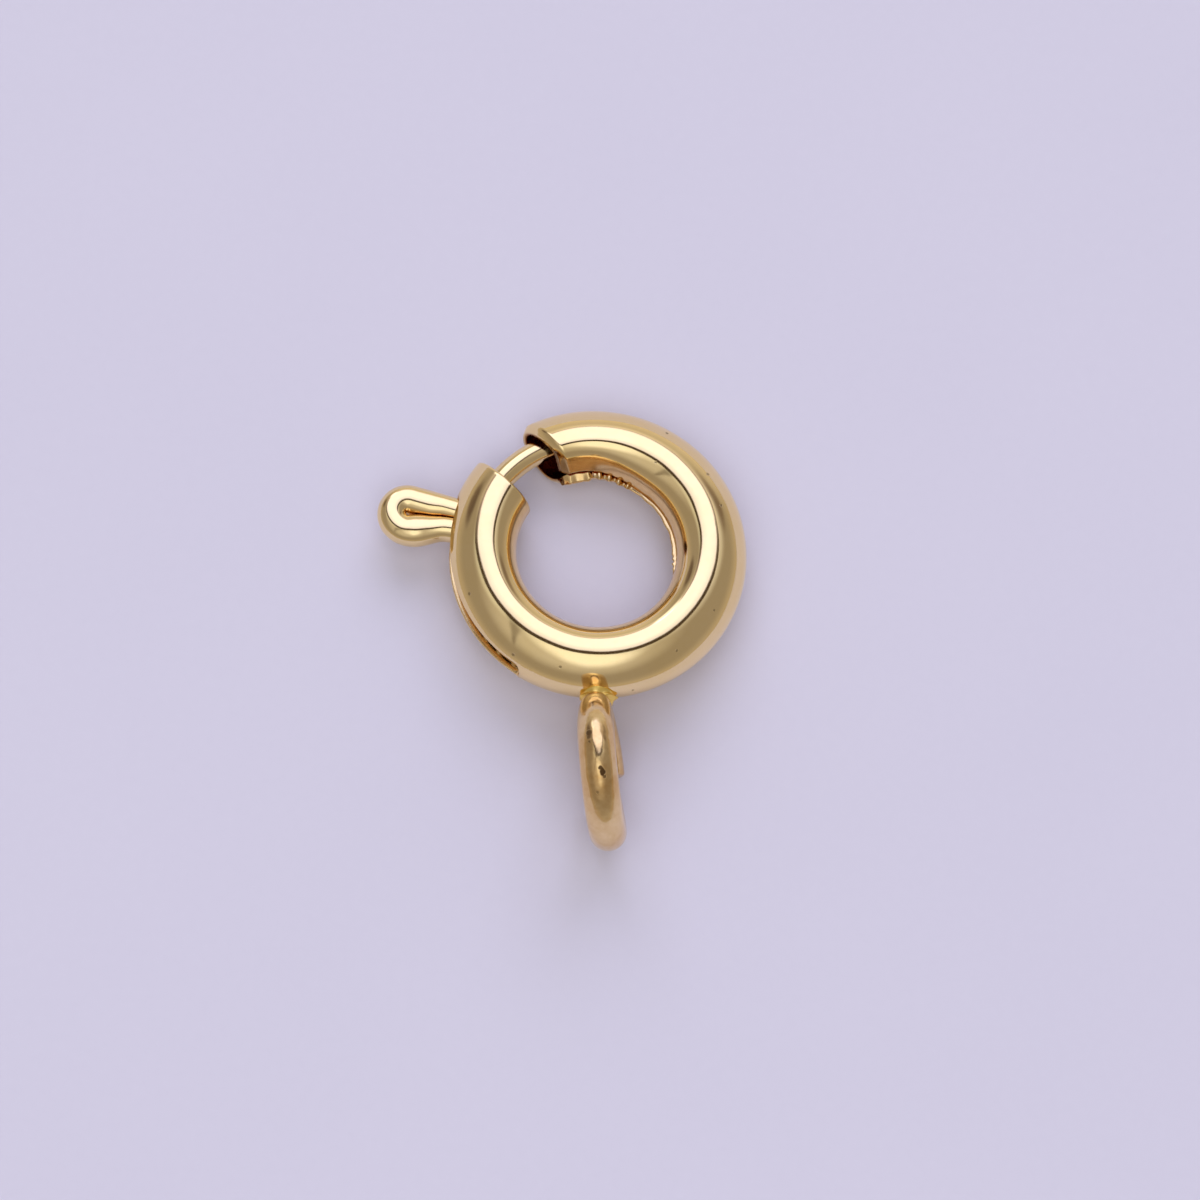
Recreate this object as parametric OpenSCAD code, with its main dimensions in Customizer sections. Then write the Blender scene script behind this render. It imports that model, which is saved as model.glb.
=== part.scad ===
// Spring ring clasp, in millimetres, as it lies on a flat surface at z = 0.
// Each piece is drawn in the ring's own frame: the ring lies in the XY plane with its centre at the
// origin, the bail is on the -Y side, and angles run anticlockwise from +X. place() then lays it down.

/* [Ring] */
// Outer diameter of the ring
ring_od = 7; // [6.4:0.1:8]
// Outer diameter of the tube that the ring is bent from
tube_od = 1.65; // [1.55:0.05:1.8]
// Wall of the tube
tube_wall = 0.2; // [0.16:0.02:0.24]
// Width of the gap that the tongue closes, at the middle line of the tube
gap_w = 1.3; // [1:0.05:1.4]
// Direction of the gap from the centre of the ring, degrees
gap_angle = 129; // [125:1:132]
// Lean of the cut at the upper end of the tube away from square, degrees
upper_flare = 15; // [0:1:16]
// Lean of the cut at the lower end of the tube away from square, degrees
lower_flare = 4; // [0:1:8]

/* [Seam] */
// Width of the fine groove along the rolled seam
seam_w = 0.06; // [0.04:0.01:0.1]
// Depth of the fine groove along the rolled seam
seam_depth = 0.06; // [0.03:0.01:0.1]
// Width of the seam where it gapes at the upper end of the tube
open_seam_w = 0.12; // [0.08:0.01:0.2]
// Angle at which the gaping stretch of the seam ends, degrees
open_seam_angle = 97; // [90:1:100]

/* [Trigger wire] */
// Diameter of the wire of tongue and trigger
wire_d = 0.56; // [0.5:0.01:0.58]
// Distance of the tongue outside the middle line of the tube
tongue_out = 0.16; // [0.1:0.01:0.2]
// Angle of the tip of the tongue inside the upper end of the tube, degrees
tip_angle = 103; // [100:1:107]
// Angle at which the wire starts to bend out of the tube into the trigger, degrees
upper_bend_angle = 157.4; // [156:0.1:158]
// Angle at which the wire is back on the middle line of the tube, degrees
lower_bend_angle = 175.5; // [175:0.1:177]
// Radius of these two bends, at the middle of the wire
bend_r = 0.3; // [0.29:0.01:0.33]
// Angle of the end of the tail that bears on the spring, degrees
tail_angle = 182; // [180:1:185]
// Distance from the centre of the ring to the middle of the trigger loop
loop_reach = 4.5; // [4.3:0.05:5]
// Angle of the middle of the trigger loop, degrees
loop_angle = 168.3; // [167:0.1:170]
// Radius of the bend of the trigger loop, at the middle of its wire
loop_r = 0.4; // [0.36:0.01:0.45]
// Travel of the trigger along its slot, degrees
travel = 58; // [50:1:60]
// Space on each side of the wire in the slot
slot_play = 0.045; // [0.03:0.005:0.08]

/* [Spring] */
// Space between the coil and the bore, all round
spring_play = 0.07; // [0.05:0.01:0.1]
// Diameter of the spring wire
spring_wire = 0.12; // [0.1:0.01:0.14]
// Number of turns of the spring
spring_turns = 10; // [8:1:11]
// Angle at which the stop begins, degrees
stop_angle = 268; // [266:1:270]

/* [Bail] */
// Diameter of the bail wire
bail_wire = 0.86; // [0.8:0.02:0.94]
// Outer diameter of the bail
bail_od = 3.75; // [3.6:0.05:4.2]
// Depth to which the bail is sunk into the tube and its solder
bail_sink = 0.14; // [0.1:0.01:0.16]
// Turn of the bail about the radial line through its root, degrees
bail_lean = 8; // [0:1:10]
// Sideways turn of the bail about the ring's axis, degrees
bail_yaw = 4; // [2:0.5:5]
// Angle round the bail, from its root over the top, at which the free arc begins, degrees
free_from = 180; // [175:1:185]
// Angle round the bail at which the free arc ends, degrees
free_to = 262; // [255:1:264]
// Angle round the bail at which the rooted arc ends, degrees
rooted_to = 278; // [276:1:285]
// Sideways bend of the free arc, which opens the bail, degrees
free_bend = 6; // [4:1:12]
// Radius of the solder collar inside the tube's wall
solder_r = 0.74; // [0.7:0.01:0.78]
// Radius of the solder collar at the bail wire
solder_neck_r = 0.36; // [0.32:0.01:0.4]

/* [Rest] */
// Roll of the ring as it lies, degrees
rest_roll = 0; // [-1:0.1:1]

/* [Hidden] */
$fn = 96;
leg_gap = 0.02;
bend_thinning = 0.006;
bend_lap = 4;

ring_r = (ring_od - tube_od) / 2;
tube_r = tube_od / 2;
bore_r = tube_r - tube_wall;
outer_r = ring_od / 2;
wire_r = wire_d / 2;
tongue_r = ring_r + tongue_out;

// The slot lets the trigger rest at one end of its travel and stop at the other.
slot_w = wire_d + 2 * slot_play;
crossing_r = outer_r - tube_wall / 2;
slot_end_angle = asin((slot_w / 2) / crossing_r);
upper_direction = leg_direction(upper_bend_angle, -1);
lower_direction = leg_direction(lower_bend_angle, 1);
slot_from = leg_crossing(upper_bend_angle, -1) - slot_end_angle;
slot_to = leg_crossing(lower_bend_angle, 1) + travel + slot_end_angle;

bail_r = (bail_od - bail_wire) / 2;
bail_centre = outer_r - bail_sink + bail_od / 2;
bail_low = bail_od / 2;
solder_in = ring_r + bore_r * 0.5;
solder_out = outer_r - bail_sink + bail_wire / 2;

// The ring rests on the far side of its tube and on the underside of the bail.
rest_tilt = asin((bail_low - tube_r) / (ring_r + bail_centre));
rest_lift = ring_r * sin(rest_tilt) + tube_r;
far_y = ring_r * cos(rest_tilt) + tube_r;
near_y = bail_centre * cos(rest_tilt) + bail_low;
trigger_x = -loop_reach * cos(180 - loop_angle) - loop_r - wire_r;
centre_x = (trigger_x + outer_r) / 2;
centre_y = (far_y - near_y) / 2;

// Point at a radius and an angle round the ring.
function at(r, a) = [r * cos(a), r * sin(a)];

// Centre of the bend that leads out of the tube, or back into it, at an angle round the ring.
// side is -1 for the upper one, on the tongue, and 1 for the lower one, on the tail.
function bend_centre(angle, side) = at((side < 0 ? tongue_r : ring_r) + bend_r, angle);

// Outward direction of the straight leg that touches both that bend and the trigger loop, in degrees.
function leg_direction(angle, side) =
    let (to = at(loop_reach, loop_angle) - bend_centre(angle, side))
    (atan2(to[1], to[0]) + side * asin((loop_r + bend_r) / norm(to)) + 360) % 360;

// Length of that leg.
function leg_length(angle, side) =
    let (to = at(loop_reach, loop_angle) - bend_centre(angle, side))
    sqrt(to * to - (loop_r + bend_r) * (loop_r + bend_r));

// Point at which the leg leaves its bend.
function leg_start(angle, side) =
    bend_centre(angle, side) + at(bend_r, leg_direction(angle, side) - 90 * side);

// Angle round the ring at which a leg crosses the middle of the tube's outer wall.
function leg_crossing(angle, side) =
    let (
        p = leg_start(angle, side),
        d = at(1, leg_direction(angle, side)),
        out = -(p * d) + sqrt((p * d) * (p * d) - p * p + crossing_r * crossing_r),
        q = p + out * d
    )
    (atan2(q[1], q[0]) + 360) % 360;

// Lays the ring down on the far side of its tube and the underside of its bail.
module place() {
    translate([-centre_x, -centre_y, rest_lift])
    rotate([-rest_tilt, 0, 0])
    rotate([0, rest_roll, 0])
    children();
}

// An arc of round bar about the ring's axis.
module ring_arc(middle_r, bar_r, from, to) {
    rotate([0, 0, from])
    rotate_extrude(angle = to - from)
    translate([middle_r, 0])
    circle(r = bar_r);
}

// The rolled tube before anything is cut from it, without its bore.
module tube_body() {
    rotate_extrude()
    translate([ring_r, 0])
    circle(r = tube_r);
}

// The bore all the way round.
module bore() {
    rotate_extrude()
    translate([ring_r, 0])
    circle(r = bore_r);
}

// The gap. Both of its faces lean, so that it is wider on the upper side of the ring.
module gap_cut() {
    upper_lean = tube_od * tan(upper_flare);
    lower_lean = tube_od * tan(lower_flare);
    rotate([0, 0, gap_angle])
    rotate([90, 0, 90])
    linear_extrude(height = ring_od)
    polygon([
        [-gap_w / 2 + upper_lean, -tube_od],
        [gap_w / 2 - lower_lean, -tube_od],
        [gap_w / 2 + lower_lean, tube_od],
        [-gap_w / 2 - upper_lean, tube_od]
    ]);
}

// The slot through the outer wall in which the trigger travels.
module slot_cut() {
    rotate([0, 0, slot_from])
    rotate_extrude(angle = slot_to - slot_from)
    translate([ring_r + bore_r / 2, -slot_w / 2])
    square([tube_od, slot_w]);
}

// The fine groove of the rolled seam, and the stretch of it that gapes beside the gap.
module seam_cut() {
    seam_in = ring_r - tube_r;
    rotate_extrude()
    translate([seam_in - tube_wall, -seam_w / 2])
    square([tube_wall + seam_depth, seam_w]);
    rotate([0, 0, open_seam_angle])
    rotate_extrude(angle = gap_angle - open_seam_angle)
    translate([seam_in - tube_wall, -open_seam_w / 2])
    square([3 * tube_wall, open_seam_w]);
}

// Closes the bore behind the spring.
module spring_stop() {
    ring_arc(ring_r, bore_r + tube_wall / 4, stop_angle, stop_angle + 5);
}

// Puts what is drawn in the bail's own plane at the bail's place: there X runs back to the root and Y up.
module bail_place() {
    translate([0, -bail_centre + bail_r, 0])
    rotate([0, 0, bail_yaw])
    rotate([0, -bail_lean, 0])
    translate([0, -bail_r, 0])
    rotate([0, 0, 90])
    rotate([90, 0, 0])
    children();
}

// An arc of the bail wire in the bail's own plane, from one angle round the bail to another.
module bail_arc(bar_r, from, to) {
    rotate([0, 0, from])
    rotate_extrude(angle = to - from)
    translate([bail_r, 0])
    circle(r = bar_r);
}

// The open jump ring: the rooted arc, and the free arc that is bent sideways where the two meet.
// The free arc is a hair thinner, and it starts inside the rooted one.
module bail() {
    bail_place() {
        bail_arc(bail_wire / 2, rooted_to - 360, free_from);
        rotate([0, 0, free_from])
        translate([bail_r, 0, 0])
        rotate([0, -free_bend, 0])
        translate([-bail_r, 0, 0])
        bail_arc(bail_wire / 2 - bend_thinning, -bend_lap, free_to - free_from);
    }
}

// The collar of solder between tube and bail.
module solder() {
    rotate([0, 0, -90])
    translate([solder_in, 0, 0])
    rotate([0, 90, 0])
    cylinder(h = solder_out - solder_in, r1 = solder_r, r2 = solder_neck_r);
}

// The tube, its stop and the soldered bail are one piece of metal.
module ring_case() {
    color("goldenrod")
    place() {
        difference() {
            union() {
                tube_body();
                bail();
                solder();
            }
            bore();
            gap_cut();
            slot_cut();
            seam_cut();
        }
        spring_stop();
    }
}

// A bend of the wire in the ring's plane, anticlockwise from one direction to another about its centre.
// It is a hair thinner than the straight stretches and runs a little way into both of them.
module wire_bend(centre, r, from, to) {
    translate([centre[0], centre[1], 0])
    rotate([0, 0, from - bend_lap])
    rotate_extrude(angle = to - from + 2 * bend_lap)
    translate([r, 0])
    circle(r = wire_r - bend_thinning);
}

// One straight leg of the trigger.
module trigger_leg(angle, side) {
    p = leg_start(angle, side);
    translate([p[0], p[1], 0])
    rotate([0, 0, leg_direction(angle, side)])
    rotate([0, 90, 0])
    cylinder(h = leg_length(angle, side), r = wire_r);
}

// What lies beyond the middle line of the trigger: side is -1 for the upper leg and 1 for the lower one.
// It is the other leg's place, because the two are pinched flat against each other.
module other_side(side) {
    length = loop_reach - ring_r + wire_d;
    c = at(loop_reach, loop_angle);
    translate([c[0], c[1], 0])
    rotate([0, 0, (upper_direction + lower_direction) / 2])
    translate([-length, side < 0 ? -leg_gap / 2 : leg_gap / 2 - wire_d, -wire_d])
    cube([length, wire_d, 2 * wire_d]);
}

// The upper half of the wire: tongue, bend and leg.
module upper_wire() {
    difference() {
        union() {
            ring_arc(tongue_r, wire_r, tip_angle, upper_bend_angle);
            wire_bend(bend_centre(upper_bend_angle, -1), bend_r, upper_direction + 90, upper_bend_angle + 180);
            trigger_leg(upper_bend_angle, -1);
        }
        other_side(-1);
    }
}

// The lower half of the wire: leg, bend and tail.
module lower_wire() {
    difference() {
        union() {
            ring_arc(ring_r, wire_r, lower_bend_angle, tail_angle);
            wire_bend(bend_centre(lower_bend_angle, 1), bend_r, lower_bend_angle - 180, lower_direction - 90);
            trigger_leg(lower_bend_angle, 1);
        }
        other_side(1);
    }
}

// The tip of the tongue, tapered so that it finds its way into the tube.
module tongue_tip() {
    p = at(tongue_r, tip_angle + bend_lap / 2);
    translate([p[0], p[1], 0])
    rotate([0, 0, tip_angle - 90])
    rotate([0, 90, 0])
    cylinder(h = wire_r, r1 = wire_r - bend_thinning, r2 = wire_r * 0.6);
}

// The wire of tongue, trigger and tail, in one piece.
module tongue() {
    color("gold")
    place() {
        tongue_tip();
        upper_wire();
        wire_bend(at(loop_reach, loop_angle), loop_r, upper_direction - 90, lower_direction + 90);
        lower_wire();
    }
}

// The coil spring: a wire of hexagonal section wound round the middle line of the tube.
module return_spring() {
    sides = 6;
    steps_per_turn = 16;
    coil_r = bore_r - spring_play - spring_wire / 2;
    end_play = atan2(spring_wire * 0.7, ring_r);
    from = tail_angle + end_play;
    to = stop_angle - end_play;
    steps = spring_turns * steps_per_turn;
    function coil_point(i, rho, phi) =
        let (
            round_ring = from + (to - from) * i / steps,
            round_coil = 360 * i / steps_per_turn,
            across = coil_r + rho * cos(phi),
            out = ring_r + across * cos(round_coil),
            along = rho * sin(phi)
        )
        [
            out * cos(round_ring) - along * sin(round_ring),
            out * sin(round_ring) + along * cos(round_ring),
            across * sin(round_coil)
        ];
    points = [
        for (i = [0:steps]) for (k = [0:sides - 1]) coil_point(i, spring_wire / 2, 360 * k / sides)
    ];
    sides_of_wire = [
        for (i = [0:steps - 1]) for (k = [0:sides - 1])
            [
                i * sides + k,
                i * sides + (k + 1) % sides,
                (i + 1) * sides + (k + 1) % sides,
                (i + 1) * sides + k
            ]
    ];
    first_end = [for (k = [sides - 1:-1:0]) k];
    last_end = [for (k = [0:sides - 1]) steps * sides + k];
    color("silver")
    place()
    polyhedron(points = points, faces = concat(sides_of_wire, [first_end, last_end]));
}

ring_case();
tongue();
return_spring();
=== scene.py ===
"""Looks of a small gold-plated spring ring clasp that lies on a pale paper floor.

Every shape is worked out in the ring's own frame, in millimetres: the ring lies in the XY plane with its
centre at the origin, the bail is on the -Y side, and angles run anticlockwise from +X. ClaspSizes.lay()
then puts it down where the solids lie, in metres.
"""

import logging
from dataclasses import dataclass
from enum import Enum
from math import asin, atan2, cos, degrees, hypot, radians, sin, sqrt, tan
from typing import Sequence

import bpy
import numpy as np
from mathutils import Matrix, Vector


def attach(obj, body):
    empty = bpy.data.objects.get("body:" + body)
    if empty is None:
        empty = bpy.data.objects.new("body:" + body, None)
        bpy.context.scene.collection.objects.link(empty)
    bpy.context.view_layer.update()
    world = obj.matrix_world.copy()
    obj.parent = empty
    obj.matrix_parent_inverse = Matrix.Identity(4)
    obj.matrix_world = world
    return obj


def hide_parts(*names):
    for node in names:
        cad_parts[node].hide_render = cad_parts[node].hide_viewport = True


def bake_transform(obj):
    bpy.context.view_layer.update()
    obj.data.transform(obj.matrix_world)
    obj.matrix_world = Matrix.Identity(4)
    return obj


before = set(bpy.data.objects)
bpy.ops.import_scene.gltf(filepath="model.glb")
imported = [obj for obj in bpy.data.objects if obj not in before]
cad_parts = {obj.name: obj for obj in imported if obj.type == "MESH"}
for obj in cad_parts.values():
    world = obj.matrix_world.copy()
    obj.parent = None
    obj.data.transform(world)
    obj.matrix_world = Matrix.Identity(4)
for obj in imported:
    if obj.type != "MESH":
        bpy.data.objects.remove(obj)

Array = np.ndarray
Socket = bpy.types.NodeSocket
MM = 0.001
UP = np.array([0.0, 0.0, 1.0])
LOG = logging.getLogger("clasp")


# Sizes and places


@dataclass(frozen=True)
class ClaspSizes:
    """Sizes of the clasp in millimetres and degrees, the same ones as its solids have."""

    ring_od: float = 7.0
    tube_od: float = 1.65
    tube_wall: float = 0.2
    gap_w: float = 1.3
    gap_angle: float = 129.0
    lower_flare: float = 4.0
    wire_d: float = 0.56
    tongue_out: float = 0.16
    tip_angle: float = 103.0
    upper_bend_angle: float = 157.4
    lower_bend_angle: float = 175.5
    bend_r: float = 0.3
    tail_angle: float = 182.0
    loop_reach: float = 4.5
    loop_angle: float = 168.3
    loop_r: float = 0.4
    travel: float = 58.0
    slot_play: float = 0.045
    spring_play: float = 0.07
    spring_wire: float = 0.12
    spring_turns: int = 10
    stop_angle: float = 268.0
    bail_wire: float = 0.86
    bail_od: float = 3.75
    bail_sink: float = 0.14
    bail_lean: float = 8.0
    bail_yaw: float = 4.0
    free_from: float = 180.0
    free_to: float = 262.0
    rooted_to: float = 278.0
    free_bend: float = 6.0

    @property
    def ring_r(self) -> float:
        """Radius of the middle line of the tube."""
        return (self.ring_od - self.tube_od) / 2

    @property
    def tube_r(self) -> float:
        """Outer radius of the tube."""
        return self.tube_od / 2

    @property
    def bore_r(self) -> float:
        """Radius of the bore."""
        return self.tube_r - self.tube_wall

    @property
    def outer_r(self) -> float:
        """Outer radius of the ring."""
        return self.ring_od / 2

    @property
    def wire_r(self) -> float:
        """Radius of the wire of tongue and trigger."""
        return self.wire_d / 2

    @property
    def tongue_r(self) -> float:
        """Radius of the arc that the tongue follows."""
        return self.ring_r + self.tongue_out

    @property
    def bail_r(self) -> float:
        """Radius of the bail at the middle of its wire."""
        return (self.bail_od - self.bail_wire) / 2

    @property
    def bail_centre(self) -> float:
        """Distance from the centre of the ring to the centre of the bail."""
        return self.outer_r - self.bail_sink + self.bail_od / 2

    @property
    def rest_tilt(self) -> float:
        """Lean of the ring as it lies on the far side of its tube and on its bail, in degrees."""
        return degrees(asin((self.bail_od / 2 - self.tube_r) / (self.ring_r + self.bail_centre)))

    @property
    def rest_centre(self) -> Array:
        """Place of the ring's centre over the floor."""
        tilt = radians(self.rest_tilt)
        far_y = self.ring_r * cos(tilt) + self.tube_r
        near_y = self.bail_centre * cos(tilt) + self.bail_od / 2
        trigger_x = -self.loop_reach * cos(radians(180 - self.loop_angle)) - self.loop_r - self.wire_r
        return np.array(
            [-(trigger_x + self.outer_r) / 2, -(far_y - near_y) / 2, self.ring_r * sin(tilt) + self.tube_r]
        )

    def lay(self, points: Array) -> Array:
        """Puts points of the ring's frame where the clasp lies.

        Args:
            points: places in the ring's frame, in millimetres, one in each row.

        Returns:
            The places over the floor, in metres.
        """
        tilt = radians(-self.rest_tilt)
        turn = np.array([[1, 0, 0], [0, cos(tilt), -sin(tilt)], [0, sin(tilt), cos(tilt)]])
        return (points @ turn.T + self.rest_centre) * MM


def on_ring(radius: float, angle: float) -> Array:
    """Point of the ring's plane at a radius and an angle in degrees."""
    return arc_points(radius, np.array([radians(angle)]))[0]


def arc_points(radius: float | Array, angle: Array) -> Array:
    """Points of the ring's plane at a radius, or several, and at angles in radians."""
    return np.stack([radius * np.cos(angle), radius * np.sin(angle), 0 * angle], -1)


def distance_along(path: Array) -> Array:
    """Distance along a path to each of its points."""
    return np.concatenate([[0.0], np.cumsum(np.linalg.norm(np.diff(path, axis=0), axis=1))])


def smooth_step(value: Array) -> Array:
    """Rises from 0 to 1 as value does, level at both ends: 3 v squared less 2 v cubed."""
    v = np.clip(value, 0.0, 1.0)
    return v * v * (3 - 2 * v)


def bell(distance: Array, width: float) -> Array:
    """Bell curve: 1 at no distance, fading as exp of minus (distance over width) squared."""
    return np.exp(-((distance / width) ** 2))


def fading(distance: Array, reach: float) -> Array:
    """Fades from 1 at no distance, as exp of minus distance over reach."""
    return np.exp(-distance / reach)


def between(first: Array | float, second: Array | float, share: Array) -> Array:
    """Goes from the first value to the second one as share goes from 0 to 1."""
    return first * (1 - share) + second * share


def round_over(distance: Array, radius: float) -> Array:
    """Depth of a rounded edge: radius less the height of a quarter circle at a distance from the edge."""
    inside = np.clip(radius - distance, 0.0, radius)
    return radius - np.sqrt(radius * radius - inside * inside)


def merge_lines(*groups: Sequence[float]) -> Array:
    """Grid lines of several groups in order, without near doubles."""
    lines = np.unique(np.round(np.concatenate([np.asarray(g, float) for g in groups]), 5))
    return lines[np.concatenate([[True], np.diff(lines) > 1e-3])]


# Meshes


def add_object(name: str, data: bpy.types.ID) -> bpy.types.Object:
    """Makes an object of a mesh, a light or a camera and puts it in the scene.

    Args:
        name: its name.
        data: the mesh, light or camera.

    Returns:
        The object.
    """
    obj = bpy.data.objects.new(name, data)
    bpy.context.scene.collection.objects.link(obj)
    return obj


def grid_faces(rows: int, columns: int, closed: bool) -> Array:
    """Quads of a grid of points.

    Args:
        rows: number of rows.
        columns: number of points in a row.
        closed: whether the last column joins the first one.

    Returns:
        Four point numbers in each row.
    """
    across = columns if closed else columns - 1
    i, j = np.meshgrid(np.arange(rows - 1), np.arange(across), indexing="ij")
    nxt = (j + 1) % columns
    quads = [i * columns + j, i * columns + nxt, (i + 1) * columns + nxt, (i + 1) * columns + j]
    return np.stack(quads, -1).reshape(-1, 4)


def capped_faces(rows: int, columns: int) -> list[tuple[int, ...]]:
    """Faces of a grid whose rows are closed rings, with a cap on its first and on its last ring."""
    caps = [tuple(range(columns - 1, -1, -1)), tuple((rows - 1) * columns + k for k in range(columns))]
    return [tuple(f) for f in grid_faces(rows, columns, True)] + caps


@dataclass
class Shell:
    """One closed shell of a piece.

    It has its points in the ring's frame in millimetres, its faces as rows of point numbers, two distances
    in millimetres at each point, along the metal and across it, and how much painted shade and painted
    reflection each point takes in nooks, from 0 to 1.
    """

    points: Array
    faces: Sequence
    along: Array
    painted_shade_and_reflection: Array


def make_piece(name: str, sizes: ClaspSizes, *shells: Shell) -> bpy.types.Object:
    """Makes the mesh object of a piece at the origin, with its place in its mesh.

    Args:
        name: name of the piece.
        sizes: sizes of the clasp, which say where the piece lies.
        shells: the closed shells that it is made of.

    Returns:
        The object.
    """
    first, faces = 0, []
    for shell in shells:
        faces.extend(tuple(int(k) + first for k in face) for face in shell.faces)
        first += len(shell.points)
    mesh = bpy.data.meshes.new(name)
    mesh.from_pydata(sizes.lay(np.concatenate([shell.points for shell in shells])).tolist(), [], faces)
    mesh.polygons.foreach_set("use_smooth", np.ones(len(mesh.polygons), bool))
    # the mask of painted shade and painted reflection, which the gold finishes read
    painted_shade_and_reflection = np.concatenate([shell.painted_shade_and_reflection for shell in shells]).astype(np.float32)
    mesh.attributes.new("painted_shade_and_reflection", "FLOAT", "POINT").data.foreach_set("value", painted_shade_and_reflection)
    corner_point = np.empty(len(mesh.loops), np.int32)
    mesh.loops.foreach_get("vertex_index", corner_point)
    along = np.concatenate([shell.along for shell in shells])[corner_point].astype(np.float32)
    mesh.uv_layers.new(name="metal").data.foreach_set("uv", along.ravel())
    mesh.validate()
    return add_object(name, mesh)


def sweep_wire(
    path: Array,
    side: Array,
    radius: Array,
    sides: int,
    painted_shade_and_reflection: float = 0.0,
    end_slant: tuple[float, float] = (0.0, 0.0),
) -> Shell:
    """Carries a circle along a path and closes both ends.

    A point is the path's point, plus radius times (cosine of the angle round the wire times the side
    direction, plus its sine times the direction square to both). Near each end it is moved along the wire by
    the slant times the same cosine and the radius, which fades out over 0.6 mm.

    Args:
        path: points of the middle line.
        side: a direction at each of them, or one for all, that isn't along the path.
        radius: radius of the wire at each of them.
        sides: number of points round the wire.
        painted_shade_and_reflection: how much painted shade and painted reflection the wire takes.
        end_slant: how far the first and the last ring lean along the wire, over its radius.

    Returns:
        The wire's shell.
    """
    tangent = np.gradient(path, axis=0)
    tangent /= np.linalg.norm(tangent, axis=1, keepdims=True)
    across = np.cross(tangent, side)
    across /= np.linalg.norm(across, axis=1, keepdims=True)
    out = np.cross(across, tangent)
    turn = np.linspace(0, 2 * np.pi, sides, endpoint=False)
    ring = np.cos(turn)[None, :, None] * out[:, None] + np.sin(turn)[None, :, None] * across[:, None]
    length, reach = distance_along(path), 0.6
    slant = smooth_step(1 - length / reach) * end_slant[0]
    slant = slant + smooth_step(1 - (length[-1] - length) / reach) * end_slant[1]
    lean = (slant * radius)[:, None] * np.cos(turn)[None]
    points = path[:, None] + radius[:, None, None] * ring + lean[..., None] * tangent[:, None]
    along = np.stack(np.broadcast_arrays(length[:, None], turn[None] * radius.max()), -1).reshape(-1, 2)
    nook = np.full(len(along), painted_shade_and_reflection)
    return Shell(points.reshape(-1, 3), capped_faces(len(path), sides), along, nook)


def rounded_end(length: Array, radius: float, edge: float) -> Array:
    """Radius along a wire, at distances along it, whose two ends have edges of a given rounding."""
    from_end = np.minimum(length, length[-1] - length)
    return radius - round_over(from_end, edge)


def stations(total: float, spacing: float, edge: float) -> Array:
    """Stations along a wire, evenly spaced and close together over the rounding of its ends."""
    near = edge * np.array([0.0, 0.04, 0.15, 0.35, 0.6, 1.0])
    middle = np.linspace(0, total, max(3, int(total / spacing)))
    middle = middle[(middle > edge * 1.3) & (middle < total - edge * 1.3)]
    return merge_lines(near, middle, total - near)


# The rolled tube of the ring


class Skin(Enum):
    """The two faces of the sheet that the tube is rolled from."""

    OUTER = 1
    INNER = -1


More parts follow.
